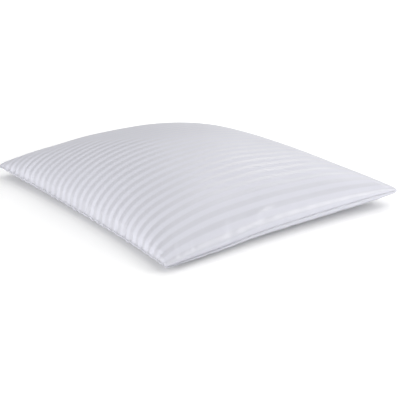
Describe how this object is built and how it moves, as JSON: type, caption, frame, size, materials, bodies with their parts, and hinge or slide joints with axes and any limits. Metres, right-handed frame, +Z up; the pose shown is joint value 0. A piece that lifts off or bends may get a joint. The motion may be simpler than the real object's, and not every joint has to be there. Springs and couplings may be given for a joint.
{
  "type": "bed pillow",
  "caption": "Rectangular bed pillow in a sewn, satin-striped cover, lying flat, with a lining and a layered fibre filling inside.",
  "frame": {"origin": "on the surface that the pillow lies on, under the middle of its outline", "axes": "+X along the long sides, from the left of the closing seam to its right; +Y from the closing seam to the back seam, along the stripes; +Z up, from the underside to the crown"},
  "size_m": [0.65, 0.55, 0.115],
  "materials": {
    "cover_sateen": "satin",
    "sewing_thread": "satin",
    "lining_cloth": "matte",
    "soft_fibre": "matte",
    "firm_fibre": "matte",
    "label_ribbon": "satin"
  },
  "bodies": {
    "root": {"cover_top_panel": "cover_sateen", "cover_bottom_panel": "cover_sateen", "cover_seam_thread": "sewing_thread", "cover_closing_thread": "sewing_thread", "lining_top_panel": "lining_cloth", "lining_bottom_panel": "lining_cloth", "lining_seam_thread": "sewing_thread", "lining_closing_thread": "sewing_thread", "fibre_layer_upper": "soft_fibre", "fibre_core": "firm_fibre", "fibre_layer_lower": "soft_fibre", "care_label": "label_ribbon"}
  },
  "joints": []
}
